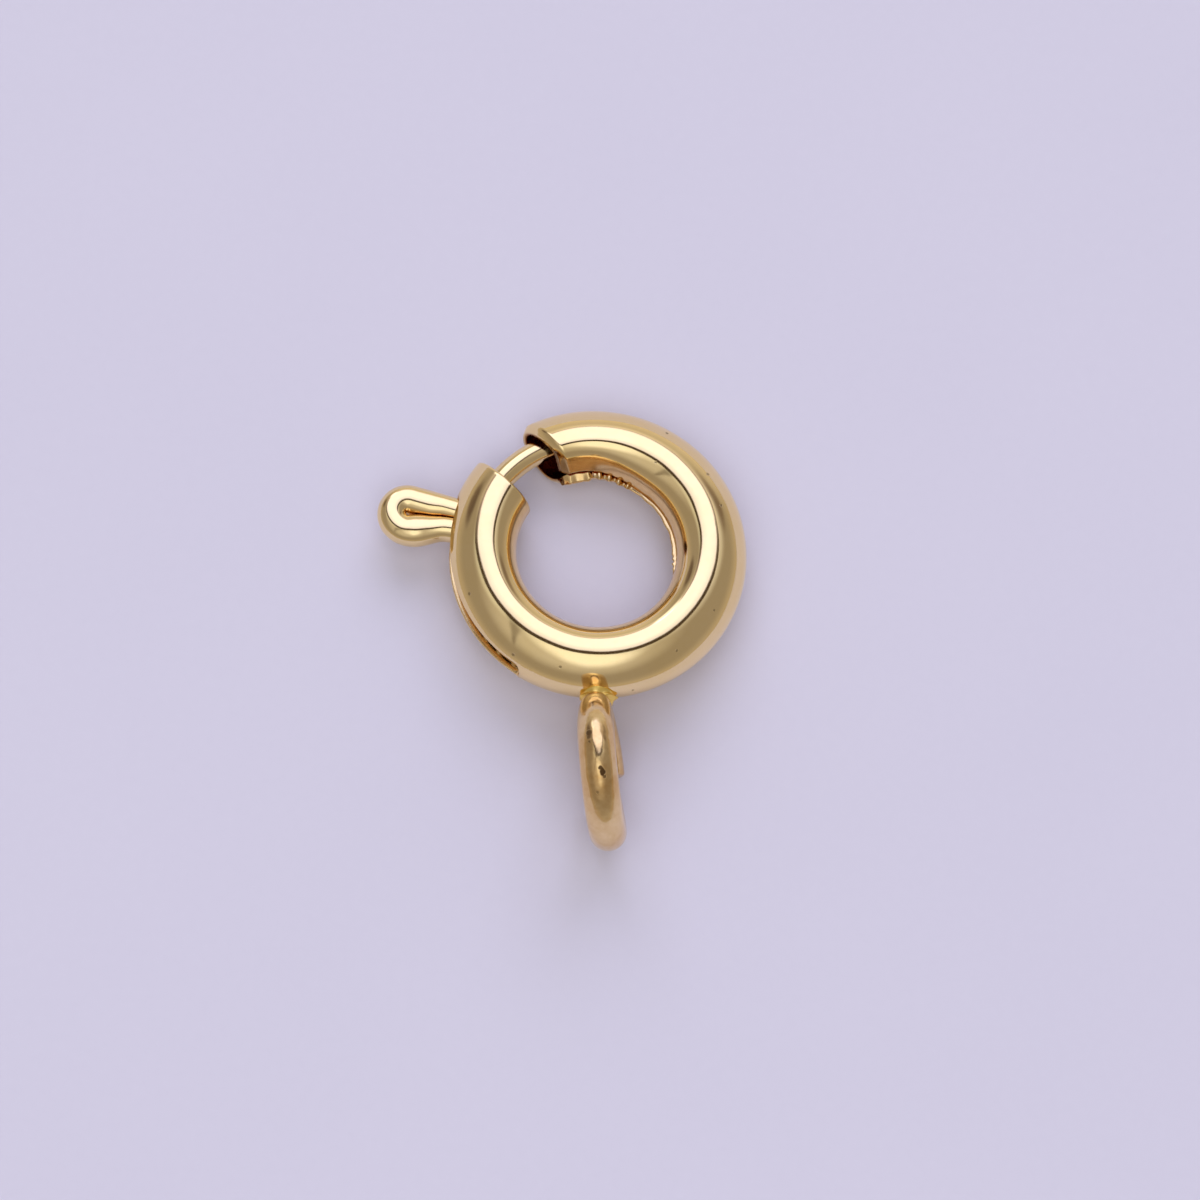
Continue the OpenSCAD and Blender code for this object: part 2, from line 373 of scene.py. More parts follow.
@dataclass
class RolledTube:
    """The hollow ring: sheet rolled to a tube, with its seam on the inner side, its gap and its slot.

    In its methods angle is the angle round the ring in degrees, turn is the one round the section, 0 on the
    outer side of the ring and 90 on top, and depth is the distance below the outer skin in millimetres.
    """

    sizes: ClaspSizes
    crest_shift: float = 0.095
    rim_width: float = 0.14
    rim_depth: float = 0.13
    lower_rounding: float = 0.06
    lip_rounding: float = 0.035
    slot_rounding: float = 0.05
    slot_corner: float = 0.2
    slot_more: float = 4.0
    slot_fade: float = 0.35
    slot_far: float = 40.0
    proud_from: float = -18.0
    proud_over: float = 14.0
    lip_step: float = 0.085
    lip_width: float = 14.0
    lip_uneven: tuple[tuple[float, float, float], ...] = ((0.10, 17.0, 0.0), (0.08, 31.0, 50.0))
    lip_beads: tuple[float, float, float] = (0.35, 90.0, 7.0)
    lip_follow: tuple[float, float] = (0.05, 0.19)
    follow_width: float = 32.0
    ridges: tuple[float, float] = (62.0, 93.0)
    ridge_ramp: float = 4.0
    ridge_pitch: float = 7.2
    ridge_height: float = 0.03
    leaf_from: float = 91.0
    leaf_over: float = 4.0
    leaf_strip: float = 19.5
    leaf_bend: float = 14.0
    leaf_fade: float = 50.0
    leaf_edge: tuple[float, float] = (0.225, 0.02)
    leaf_fold: tuple[float, float] = (-0.072, 0.225)
    leaf_uneven: tuple[float, float] = (0.012, 41.0)
    leaf_thickness: float = 0.6
    fold_from: float = 52.0
    fold_over: float = 50.0
    fold_r: float = 0.45
    fold_turn: float = 59.0
    fold_flat: float = 0.45
    upper_half_gap: float = 0.56
    upper_lean: float = 7.0
    lower_skew: float = 0.12
    seam_half_gap: float = 0.010
    waviness: float = 0.004
    cut_reach: tuple[float, float] = (7.5, 30.0)
    row_step: float = 1.25
    ridge_row_step: float = 0.5
    column_step: float = 5.0

    def section(self, angle: Array, turn: Array, depth: Array) -> tuple[Array, Array]:
        """Section of the tube, whose crest is drawn inwards by the bending.

        It is a circle sheared inwards by crest_shift times the square of the sine of the turn. Towards the
        upper end the upper sheet isn't rolled fully: there its inner quarter is a tighter arc and a flat.

        Args:
            angle, turn, depth: where it is.

        Returns:
            The distance outwards from the tube's middle line, and the height over the ring's plane.
        """
        a = np.radians(turn)
        radius = self.sizes.tube_r - depth
        out, up = radius * np.cos(a) - self.crest_shift * np.sin(a) ** 2, radius * np.sin(a)
        bend = radians(self.fold_turn)
        share = np.clip((turn - 90) / 90, 0, 1)
        way = share * (bend * self.fold_r + self.fold_flat)
        tilt = np.minimum(way / self.fold_r, bend)
        flat = np.maximum(way - bend * self.fold_r, 0)
        fold_out = -self.crest_shift - (self.fold_r - depth) * np.sin(tilt) - flat * cos(bend)
        fold_up = self.sizes.tube_r - self.fold_r + (self.fold_r - depth) * np.cos(tilt) - flat * sin(bend)
        fold = self.fold(angle) * (turn > 90)
        return between(out, fold_out, fold), between(up, fold_up, fold)

    def fold(self, angle: Array) -> Array:
        """How much of the unrolled shape the sheet has, 0 along the ring and 1 at the upper end."""
        return smooth_step((angle - 360 - self.fold_from) / self.fold_over)

    def wave(self, angle: Array, turn: Array) -> Array:
        """Slight unevenness of the drawn sheet: three sine waves, never proud of the true tube.

        Args:
            angle, turn: where it is.

        Returns:
            The depth in millimetres.
        """
        a, t = np.radians(angle), np.radians(turn)
        sum_of_waves = np.sin(9 * a + 2 * t) + np.sin(14 * a - 3 * t + 1.3) + np.sin(5 * a + 4 * t + 0.7)
        return self.waviness * (sum_of_waves / 6 + 0.5)

    def lower_lip(self, angle: Array, turn: Array, depth: Array) -> tuple[Array, Array]:
        """How far the lower sheet is moved near the seam.

        From proud_from on its lip stands proud and catches the light as a bright line, with some beads at
        first. Where the upper sheet isn't rolled down fully, the lip is lifted to meet it, with ridges. From
        leaf_from on its last strip is folded back into the tube, as a leaf that looks up. The unevenness is
        rows of a share, a number of waves round the ring and a phase, and the beads have a share, a number
        of waves and a spread.

        Args:
            angle, turn, depth: where it is.

        Returns:
            The distances in millimetres, away from the ring's middle and up.
        """
        upper = angle - 360
        below = np.clip(turn + 180, 0, None)
        uneven = sum(share * np.sin(np.radians(angle * n + phase)) for share, n, phase in self.lip_uneven)
        size, n, spread = self.lip_beads
        beads = size * np.sin(np.radians(angle * n)) * bell(upper + spread, spread)
        proud = self.lip_step * smooth_step((upper - self.proud_from) / self.proud_over)
        proud = proud * (1 + uneven + beads)
        (start, stop), ramp = self.ridges, self.ridge_ramp
        ridges = self.ridge_height * smooth_step((upper - start) / ramp) * smooth_step((stop - upper) / ramp)
        ridges = ridges * np.sin(2 * np.pi * (upper - start - ramp / 2) / self.ridge_pitch)
        near, follow = bell(below, self.lip_width), self.fold(angle) * bell(below, self.follow_width)
        lip_out = self.lip_follow[0] * follow - (proud + ridges) * near
        lip_up = self.lip_follow[1] * follow + ridges * near

        strip = np.clip(below / self.leaf_strip, 0, 1)
        fade = 1 - smooth_step((below - self.leaf_strip) / self.leaf_fade)
        size, n = self.leaf_uneven
        uneven = size * np.sin(np.radians(upper * n)) * strip
        leaf_out = fade * between(self.leaf_edge[0], self.leaf_fold[0], strip)
        leaf_up = fade * (between(self.leaf_edge[1], self.leaf_fold[1], strip) + uneven)
        half = 0.5 * self.leaf_strip
        folded = 1 - smooth_step((below - half) / (half + self.leaf_bend))
        natural, turned = np.radians(below), np.radians(below - (90 + below) * folded)
        thin = 1 - (1 - self.leaf_thickness) * folded
        leaf_out = leaf_out + depth * (thin * np.cos(turned) - np.cos(natural))
        leaf_up = leaf_up + depth * (thin * np.sin(turned) - np.sin(natural))
        leaf = smooth_step((upper - self.leaf_from) / self.leaf_over)
        return between(lip_out, leaf_out, leaf), between(lip_up, leaf_up, leaf)

    def cut(self, angle: Array, turn: Array, depth: Array, upper: bool) -> Array:
        """How much of the ring the gap takes: the arc sine of its half width over the radius.

        Args:
            angle, turn, depth: where it is.
            upper: whether it is the cut of the upper end and not of the lower one.

        Returns:
            Half the gap's angle there, in degrees.
        """
        out, up = self.section(angle, turn, depth)
        if upper:
            half = self.upper_half_gap + up * tan(radians(self.upper_lean))
        else:
            skew = self.lower_skew * (out / self.sizes.tube_r - 0.3)
            half = self.sizes.gap_w / 2 + up * tan(radians(self.sizes.lower_flare)) + skew
        return np.degrees(np.arcsin(half / (self.sizes.ring_r + out)))

    def slot_ends(self) -> tuple[float, float]:
        """Ends of the slot, from where the trigger's legs cross the outer wall.

        Returns:
            The angles of its upper and its lower end, in degrees.
        """
        s, wire = self.sizes, TriggerWire(self.sizes)
        crossing_r = s.outer_r - s.tube_wall / 2
        margin = degrees(asin((s.wire_r + s.slot_play) / crossing_r))
        far_leg = wire.crossing(1, crossing_r)
        return wire.crossing(-1, crossing_r) - margin, far_leg + s.travel + margin + self.slot_more

    def slot_turn(self, radius: float) -> float:
        """Angle round the section from the middle of the slot to its edge, at a radius of the tube."""
        return degrees(asin((self.sizes.wire_r + self.sizes.slot_play) / radius))

    def gap_ends(self) -> tuple[float, float, float]:
        """Half the gap's angle on the tube's middle line, and the angles where the tube starts and ends."""
        half = degrees(asin(self.sizes.gap_w / 2 / self.sizes.ring_r))
        return half, self.sizes.gap_angle + half, self.sizes.gap_angle + 360 - half

    def beside_slot(self, angle: Array, turn: Array, skin_r: float) -> tuple[Array, Array]:
        """Draws the turn in near the slot, for its round corners and for the same width in both skins.

        Args:
            angle, turn: where it is on the grid.
            skin_r: radius of the skin.

        Returns:
            The turn, and the distance to the slot's edge in millimetres.
        """
        s, corner, far = self.sizes, self.slot_corner, self.slot_far
        edge_turn, skin_turn = self.slot_turn(s.tube_r), self.slot_turn(skin_r)
        slot_half, (slot_from, slot_to) = s.wire_r + s.slot_play, self.slot_ends()
        inside = np.minimum(angle - slot_from, slot_to - angle) * radians(1) * s.outer_r
        arc = corner - np.sqrt(np.clip(corner**2 - (corner - np.clip(inside, 0, corner)) ** 2, 0, None))
        narrow = 1 - arc / slot_half * smooth_step(1 + np.minimum(inside, 0) / self.slot_fade)
        narrow = narrow * skin_turn / edge_turn
        size = np.abs(turn)
        eased = edge_turn * narrow + (size - edge_turn) * (edge_turn + far - edge_turn * narrow) / far
        warped = np.where(size <= edge_turn, size * narrow, np.where(size < edge_turn + far, eased, size))
        turned = np.sign(turn) * warped
        height = np.where(size < 90, np.abs(np.sin(np.radians(turned))), 1.0) * skin_r
        over_slot = np.maximum(height - slot_half * narrow * edge_turn / skin_turn, 0)
        return turned, np.hypot(np.maximum(-inside, 0), over_slot)

    def beside_cuts(self, angle: Array, turn: Array, depth: float) -> tuple[Array, Array, Array]:
        """Moves the angle near each end of the tube, so that its last line lies in the cut.

        The lines move within a reach of the end, which goes from the first of cut_reach on the outer side
        of the ring to the second on its inner side.

        Args:
            angle, turn, depth: where it is.

        Returns:
            The angle, and the distances to the lower and to the upper end in millimetres.
        """
        outer_reach, inner_reach = self.cut_reach
        middle, swing = (inner_reach + outer_reach) / 2, (inner_reach - outer_reach) / 2
        reach = middle - swing * np.cos(np.radians(turn))
        half, first, last = self.gap_ends()
        from_first, from_last = angle - first, last - angle
        start_move = self.cut(angle, turn, depth, False) - half
        end_move = self.cut(angle, turn, depth, True) - half
        moved = angle + start_move * np.clip(1 - from_first / reach, 0, 1)
        moved = moved - end_move * np.clip(1 - from_last / reach, 0, 1)
        local = radians(1) * (self.sizes.ring_r + self.section(moved, turn, depth)[0])
        d_start = from_first * (1 - start_move / reach) * local
        return moved, d_start, from_last * (1 - end_move / reach) * local

    def points(self, angle: Array, turn: Array, skin: Skin) -> tuple[Array, Array]:
        """Points of one skin on the grid of the tube.

        A point lies at its angle round the ring and its turn round the section, which are moved a little
        beside the slot, the seam and the two ends. Within a rounding's reach of an edge the skin sinks
        along a quarter circle.

        Args:
            angle: one for each row of the grid.
            turn: one for each column.
            skin: which face of the sheet.

        Returns:
            The points, and how much painted shade and painted reflection each takes, from 0 to 1.
        """
        s = self.sizes
        a, t = np.meshgrid(angle, turn, indexing="ij")
        base = 0.0 if skin is Skin.OUTER else s.tube_wall
        t_here, d_slot = self.beside_slot(a, t, s.tube_r - base)
        size, lip = np.abs(t), 180 - degrees(self.seam_half_gap / s.tube_r)
        t_here = t_here * np.where(size > 90, 1 - (1 - lip / 180) * smooth_step((size - 90) / 90), 1)
        a_here, d_start, d_end = self.beside_cuts(a, t_here, base)
        d_lip = np.radians(lip - np.abs(t_here)) * (s.tube_r - base)

        # how deep the sheet sinks at its edges, and where light is painted: shade by the lips, at the slot
        # and inside the tube, and a warm reflection under the seam
        soft = np.maximum(round_over(d_start, self.lower_rounding), round_over(d_lip, self.lip_rounding))
        soft = np.maximum(soft, round_over(d_slot, self.slot_rounding))
        rim = np.clip(1 - d_end / self.rim_width, 0, 1)
        from_lip = fading(np.maximum(d_lip, 0), 0.05)
        if skin is Skin.OUTER:
            depth = np.maximum(soft, self.rim_depth * rim**1.2) + self.wave(a_here, t_here)
            # painted shade by the upper lip of the seam and at the slot, and a painted reflection: a warm
            # tint on the ring's inner side about the seam, where the tube mirrors its own gold
            under = smooth_step((np.abs(t_here) - 125) / 35)
            nook = 0.7 * from_lip * (t_here > 0) + 0.2 * fading(d_slot, 0.05) + 0.3 * under
        else:
            depth = s.tube_wall - soft + 0.02 * rim
            # painted shade: the whole inner skin, less by the lower lip and near the slot
            nook = 1 - from_lip * (t_here < 0) - 0.8 * fading(d_slot, 0.3)
        out, up = self.section(a_here, t_here, depth)
        more_out, more_up = self.lower_lip(a_here, t_here, depth)
        places = arc_points(s.ring_r + out + more_out, np.radians(a_here))
        places[..., 2] = up + more_up
        return places, np.clip(nook, 0, 1)

    def grid_lines(self) -> tuple[Array, Array]:
        """Lines of the grid, close together beside every edge.

        Returns:
            The angles round the ring and the turns round the section.
        """
        s = self.sizes
        _, first, last = self.gap_ends()
        edge_turn = self.slot_turn(s.tube_r)
        fine = np.array([0.0, 0.004, 0.015, 0.035, 0.06, 0.1, 0.135, 0.17, 0.21])
        end = np.degrees(fine / s.ring_r) * 1.1
        slot_step = np.degrees(np.array([0.0, 0.004, 0.015, 0.035, 0.06, 0.1, 0.15, 0.2]) / s.outer_r)
        angle = merge_lines(
            first + end,
            last - end,
            *[edge + sign * slot_step for edge in self.slot_ends() for sign in (-1, 1)],
            np.arange(first + end[-1] + 0.4, last - end[-1] - 0.4, self.row_step),
            np.arange(360 + self.ridges[0], last - end[-1] - 0.2, self.ridge_row_step),
        )
        across = np.degrees(fine / s.tube_r)
        near_slot = (edge_turn + across[:-1], edge_turn - across[:-2])
        upper = merge_lines(180 - across, *near_slot, [0.0], np.arange(4, 176, self.column_step))
        return angle, np.concatenate([-upper[:0:-1], upper])[::-1]

    def build(self) -> bpy.types.Object:
        """Makes the tube: both skins on one grid, joined by walls along every edge, and the stop in it.

        Returns:
            The piece.
        """
        s = self.sizes
        slot_from, slot_to = self.slot_ends()
        edge_turn = self.slot_turn(s.tube_r)
        angle, turn = self.grid_lines()
        rows, columns = len(angle), len(turn)
        step = rows * columns

        # both skins, without the cells inside the slot
        outer, outer_nook = self.points(angle, turn, Skin.OUTER)
        inner, inner_nook = self.points(angle, turn, Skin.INNER)
        number = np.arange(step).reshape(rows, columns)
        cell_angle = (angle[:-1] + angle[1:]) / 2
        cell_turn = np.abs(turn[:-1] + turn[1:]) / 2
        past_ends = (cell_angle < slot_from) | (cell_angle > slot_to)
        beside_slot = past_ends[:, None] | (cell_turn > edge_turn)[None]
        kept = grid_faces(rows, columns, False)[beside_slot.ravel()]

        def wall(line: Array, flip: bool) -> Array:
            """Quads between the same line of points on both skins."""
            a, b = (line[1:], line[:-1]) if flip else (line[:-1], line[1:])
            return np.stack([a, b, b + step, a + step], -1)

        # the walls along the edges, and then only the points that are used
        i0, i1 = (int(np.argmin(np.abs(angle - e))) for e in (slot_from, slot_to))
        j0, j1 = (int(np.argmin(np.abs(turn - e))) for e in (edge_turn, -edge_turn))
        ends = [wall(number[0], True), wall(number[-1], False)]
        lips = [wall(number[:, 0], False), wall(number[:, -1], True)]
        slot_across = [wall(number[i0, j0 : j1 + 1], False), wall(number[i1, j0 : j1 + 1], True)]
        slot_along = [wall(number[i0 : i1 + 1, j0], True), wall(number[i0 : i1 + 1, j1], False)]
        faces = np.concatenate([kept, kept[:, ::-1] + step, *ends, *lips, *slot_across, *slot_along])
        used = np.zeros(2 * step, bool)
        used[faces.ravel()] = True
        renumber = np.cumsum(used) - 1
        a, t = np.meshgrid(np.radians(angle) * s.ring_r, np.radians(turn) * s.tube_r, indexing="ij")
        along = np.stack([a, t], -1).reshape(-1, 2)
        along = np.concatenate([along, along + 50])
        points = np.concatenate([outer.reshape(-1, 3), inner.reshape(-1, 3)])
        nook = np.concatenate([outer_nook.ravel(), inner_nook.ravel()])
        skins = Shell(points[used], renumber[faces], along[used], nook[used])
        return make_piece("ring_tube", s, skins, self.stop())

    def stop(self) -> Shell:
        """Makes the short plug that closes the bore behind the spring.

        Returns:
            Its shell.
        """
        s = self.sizes
        path = arc_points(s.ring_r, np.radians(np.linspace(s.stop_angle, s.stop_angle + 5, 8)))
        # painted shade: the plug, deep in the bore, takes the full painted shade
        return sweep_wire(path, UP, np.full(len(path), s.bore_r + s.tube_wall / 4), 32, painted_shade_and_reflection=1.0)


# The one wire of tongue, trigger and tail


@dataclass
class TriggerWire:
    """The wire that closes the gap, loops out of the slot as the trigger and ends on the spring."""

    sizes: ClaspSizes
    tip_rounding: float = 0.1
    tip_length: float = 0.3
    tip_share: float = 0.55
    leg_bow: tuple[float, float, float] = (0.04, 0.22, 0.33)
    leg_neck: tuple[float, float, float] = (0.05, 0.88, 0.26)
    leg_swell: tuple[float, float, float] = (0.035, 0.25, 0.3)
    pinch_gap: float = 0.03
    swell: float = 0.02
    loop_spread: float = 0.04
    spread_from: float = 0.14
    spread_over: float = 0.45
    squareness: float = 2.35
    press_from: float = 0.35
    press_over: float = 0.4
    leg_from: float = 0.3
    flat_nook: float = 0.8
    flat_depth: float = 0.05
    seam_nook: float = 0.9
    seam_reach: float = 0.04
    tube_nook: float = 0.4
    sides: int = 48

    def bend_centre(self, side: int) -> Array:
        """Centre of the bend at which a leg leaves the tube.

        Args:
            side: -1 for the tongue's leg and 1 for the tail's.

        Returns:
            The centre, in the ring's plane.
        """
        s = self.sizes
        radius = s.tongue_r if side < 0 else s.ring_r
        angle = s.upper_bend_angle if side < 0 else s.lower_bend_angle
        return on_ring(radius + s.bend_r, angle)

    def leg_direction(self, side: int) -> float:
        """Outward direction of a leg, which touches its bend and the loop.

        Args:
            side: -1 for the tongue's leg and 1 for the tail's.

        Returns:
            The direction in degrees from +X.
        """
        s = self.sizes
        to = on_ring(s.loop_reach, s.loop_angle) - self.bend_centre(side)
        swing = degrees(asin((s.loop_r + s.bend_r) / hypot(to[0], to[1])))
        return (degrees(atan2(to[1], to[0])) + side * swing + 360) % 360

    def leg_start(self, side: int) -> Array:
        """Point at which a leg leaves its bend."""
        return self.bend_centre(side) + on_ring(self.sizes.bend_r, self.leg_direction(side) - 90 * side)

    def crossing(self, side: int, radius: float) -> float:
        """Place at which a leg crosses a circle about the ring's centre.

        Args:
            side: -1 for the tongue's leg and 1 for the tail's.
            radius: radius of the circle.

        Returns:
            Its angle round the ring, in degrees.
        """
        p = self.leg_start(side)
        d = on_ring(1, self.leg_direction(side))
        out = -(p @ d) + sqrt((p @ d) ** 2 - p @ p + radius * radius)
        q = p + out * d
        return (degrees(atan2(q[1], q[0])) + 360) % 360

    def middle_line(self) -> Array:
        """Middle line of the wire: arc, bend, leg, loop, leg, bend and arc.

        Returns:
            Its points, evenly close.
        """
        s = self.sizes
        up, down = self.leg_direction(-1), self.leg_direction(1)

        def arc(centre: Array, radius: float, start: float, stop: float) -> Array:
            """Points of an arc, about 0.03 mm apart."""
            count = max(4, int(abs(radians(stop - start)) * radius / 0.03))
            return centre + arc_points(radius, np.radians(np.linspace(start, stop, count)))

        centre, loop = np.zeros(3), on_ring(s.loop_reach, s.loop_angle)
        line = np.concatenate(
            [
                arc(centre, s.tongue_r, s.tip_angle, s.upper_bend_angle)[:-1],
                arc(self.bend_centre(-1), s.bend_r, s.upper_bend_angle + 180, up + 90)[:-1],
                arc(loop, s.loop_r, up - 90, down + 90),
                arc(self.bend_centre(1), s.bend_r, down - 90, s.lower_bend_angle - 180)[1:],
                arc(centre, s.ring_r, s.lower_bend_angle, s.tail_angle)[1:],
            ]
        )
        length = distance_along(line)
        even = stations(length[-1], 0.045, self.tip_rounding)
        return np.stack([np.interp(even, length, line[:, k]) for k in range(3)], -1)

    def build(self) -> bpy.types.Object:
        """Makes the wire, with its lower leg bowed and its legs nipped flat against each other.

        The bow and the neck of the lower leg, and its swelling, are humps: bell curves with a height, a
        distance behind the loop's centre and a width. Outside the tube the wire is pressed to a section
        between a circle and a square, and wider by loop_spread on each side, and its loop is drawn closer by
        as much, so that the outline stays and the eye of the loop is all but closed.

        Returns:
            The piece.
        """
        s = self.sizes
        line = self.middle_line()
        loop = on_ring(s.loop_reach, s.loop_angle)
        axis = on_ring(1, (self.leg_direction(-1) + self.leg_direction(1)) / 2)
        square = np.array([-axis[1], axis[0], 0.0])
        ahead, aside = (line - loop) @ axis, (line - loop) @ square
        lower = smooth_step(aside / 0.2)
        humps = (self.leg_bow, self.leg_neck, self.leg_swell)
        bow, neck, leg_swell = (high * bell(ahead + behind, wide) for high, behind, wide in humps)
        line = line + (lower * (bow - neck))[:, None] * square
        line = line - (1.5 * self.swell * smooth_step((ahead + 0.3) / 0.3))[:, None] * axis
        from_centre = np.linalg.norm(line, axis=1)
        outside = smooth_step((from_centre - s.outer_r - self.spread_from) / self.spread_over)
        closer = outside * self.loop_spread / s.loop_r
        line = line - (closer * aside)[:, None] * square
        line = line - (closer * np.clip(ahead, 0, None))[:, None] * axis
        length, from_centre = distance_along(line), np.linalg.norm(line, axis=1)
        radius = rounded_end(length, s.wire_r, self.tip_rounding)
        radius = radius * (1 - (1 - self.tip_share) * smooth_step(1 - length / self.tip_length))
        pressed = smooth_step((from_centre - s.ring_r - self.press_from) / self.press_over)
        radius = radius + self.swell * pressed + leg_swell * lower
        wire = sweep_wire(line, UP, radius, self.sides)

        # the pressed section
        row = np.repeat(np.arange(len(line)), self.sides)
        off = wire.points - line[row]
        flat = np.linalg.norm(off[:, :2], axis=1) / radius[row]
        power = 2 + (self.squareness - 2) * pressed[row]
        full = (flat**power + np.abs(off[:, 2] / radius[row]) ** power) ** (-1 / power)
        off = off * np.where(np.linalg.norm(off, axis=1) > 1e-6, full, 1.0)[:, None]
        off[:, :2] *= (1 + outside * self.loop_spread / radius)[row, None]
        points = line[row] + off

        # the flats between the legs, and the painted shade and golden reflection on them, along the line
        # where the legs meet and on the wire inside the tube
        leg_side = np.sign(aside)[row]
        height = (points - loop) @ square
        on_leg = (ahead[row] < 0.0) & (from_centre[row] > s.ring_r + self.leg_from)
        over = np.clip(self.pinch_gap / 2 - height * leg_side, 0, None) * on_leg
        points = points + (over * leg_side)[:, None] * square
        nook = np.clip(over / self.flat_depth, 0, 1) * self.flat_nook
        nook = nook + self.seam_nook * fading(np.abs(height), self.seam_reach) * on_leg
        inside = smooth_step((s.ring_r + 0.62 - np.linalg.norm(points[:, :2], axis=1)) / 0.2)
        at = np.degrees(np.arctan2(points[:, 1], points[:, 0])) % 360
        hidden = inside * ((at < s.gap_angle - 14) | (at > s.gap_angle + 16))
        wire.points, wire.painted_shade_and_reflection = points, np.clip(nook + self.tube_nook * hidden, 0, 1)
        return make_piece("tongue_wire", s, wire)


# The coil spring in the bore


@dataclass
class CoilSpring:
    """The spring that pushes the tongue shut, wound round the middle line of the tube."""

    sizes: ClaspSizes
    steps_per_turn: int = 44
    sides: int = 10

    def build(self) -> bpy.types.Object:
        """Makes the coil: a circle carried along a helix that is bent round the ring.

        Returns:
            The piece.
        """
        s = self.sizes
        coil_r = s.bore_r - s.spring_play - s.spring_wire / 2
        play = degrees(atan2(s.spring_wire * 0.7, s.ring_r))
        share = np.linspace(0, 1, s.spring_turns * self.steps_per_turn + 1)
        angle = np.radians(s.tail_angle + play + share * (s.stop_angle - s.tail_angle - 2 * play))
        coil = 2 * np.pi * s.spring_turns * share
        path = arc_points(s.ring_r + coil_r * np.cos(coil), angle)
        path[:, 2] = coil_r * np.sin(coil)
        radius = rounded_end(distance_along(path), s.spring_wire / 2, 0.02)
        out = path - arc_points(s.ring_r, angle)
        return make_piece("coil_spring", s, sweep_wire(path, out, radius, self.sides, painted_shade_and_reflection=0.3))

    def ends(self, beyond: float = 3.0) -> tuple[Array, Array]:
        """Places of the spring's two ends, a little beyond the coil.

        Args:
            beyond: how far beyond, in degrees.

        Returns:
            The end on the stop and the end on the tail, in metres.
        """
        s = self.sizes
        ends = [on_ring(s.ring_r, s.stop_angle + beyond), on_ring(s.ring_r, s.tail_angle - beyond)]
        return tuple(s.lay(np.array(ends)))


# The bail and its solder


@dataclass
class Bail:
    """The open jump ring that stands across the tube, with the solder that holds it."""

    sizes: ClaspSizes
    sides: int = 56
    end_rounding: float = 0.06
    wear: float = 0.006
    end_slant: tuple[float, float] = (0.10, 0.16)
    root_share: float = 0.80
    root_reach: float = 75.0
    collar_foot: float = 0.56
    collar_neck: float = 0.34
    rim_out: float = 3.53
    rim_proud: float = 0.06
    collar_turns: int = 96
    collar_rows: int = 48

    def place(self, points: Array) -> Array:
        """Puts points of the bail's own plane in the ring's frame.

        In its own plane X runs back to the root and Y up. The bail leans about the radial line through its
        root and is turned sideways about a line through it that is parallel to the ring's axis.

        Args:
            points: places in the bail's own frame.

        Returns:
            Places in the ring's frame.
        """
        s = self.sizes
        p = np.stack([points[:, 2], points[:, 0], points[:, 1]], -1) - np.array([0, s.bail_r, 0])
        lean, yaw = radians(-s.bail_lean), radians(s.bail_yaw)
        about_y = np.array([[cos(lean), 0, sin(lean)], [0, 1, 0], [-sin(lean), 0, cos(lean)]])
        about_z = np.array([[cos(yaw), -sin(yaw), 0], [sin(yaw), cos(yaw), 0], [0, 0, 1]])
        return p @ (about_z @ about_y).T + np.array([0, -s.bail_centre + s.bail_r, 0])

    def build(self) -> bpy.types.Object:
        """Makes the bail's wire: a circle carried round the open ring, whose free arc is bent sideways.

        Returns:
            The piece.
        """
        s = self.sizes
        length = stations(radians(s.free_to - s.rooted_to + 360) * s.bail_r, 0.05, self.end_rounding)
        angle = np.radians(s.rooted_to - 360) + length / s.bail_r
        path = arc_points(s.bail_r, angle)
        bent, bend = angle > radians(s.free_from), radians(s.free_bend)
        out_of_hinge = path[:, 0] + s.bail_r
        side = np.tile(UP, (len(path), 1))
        side[bent] = [sin(bend), 0.0, cos(bend)]
        path[:, 0] = np.where(bent, -s.bail_r + out_of_hinge * cos(bend), path[:, 0])
        path[:, 2] = np.where(bent, -out_of_hinge * sin(bend), 0)
        radius = rounded_end(length, s.bail_wire / 2 - self.wear, self.end_rounding)
        root = smooth_step(1 - np.abs(np.degrees(angle)) / self.root_reach)
        radius = radius * (1 - (1 - self.root_share) * root)
        wire = sweep_wire(path, side, radius, self.sides, end_slant=self.end_slant)
        wire.points = self.place(wire.points)
        # painted reflection: the wire turns yellower and rougher towards its root, beside the solder
        from_root = np.linalg.norm(wire.points - np.array([0, -s.outer_r, 0]), axis=1)
        wire.painted_shade_and_reflection = 0.5 * bell(from_root, 0.55)
        return make_piece("bail_wire", s, wire)

    def build_solder(self) -> bpy.types.Object:
        """Makes the solder: a waisted collar about the radial line through the bail's root.

        Its radius falls from the foot to the neck as the power 1.7 of the distance left, with slight lumps,
        and a thin uneven rim stands out where the solder met the tube.

        Returns:
            The piece.
        """
        s = self.sizes
        foot, top = s.ring_r + s.bore_r * 0.5, s.outer_r - s.bail_sink + s.bail_wire / 2
        share = np.concatenate([[0.0], np.linspace(0, 1, self.collar_rows), [1.0]])
        turn = np.linspace(0, 2 * np.pi, self.collar_turns, endpoint=False)
        h, t = np.meshgrid(share, turn, indexing="ij")
        radius = self.collar_neck + (self.collar_foot - self.collar_neck) * (1 - h) ** 1.7
        lumps = 0.012 * (np.sin(3 * t + 4 * h) + np.sin(7 * t - 9 * h + 1) + np.sin(5 * t + 15 * h + 2)) * h
        out = foot + (top - foot) * h
        spikes = 1 + 0.5 * np.sin(3 * t + 0.6) + 0.25 * np.sin(8 * t)
        radius = radius + lumps + self.rim_proud * spikes * bell(out - self.rim_out, 0.035)
        radius[[0, -1]] = 0.02
        points = np.stack([radius * np.cos(t), -out, radius * np.sin(t)], -1).reshape(-1, 3)
        along = np.stack([h, t * self.collar_neck], -1).reshape(-1, 2)
        faces = capped_faces(len(share), self.collar_turns)
        return make_piece("bail_solder", s, Shell(points, faces, along, np.full(len(points), 0.1)))


# Finishes


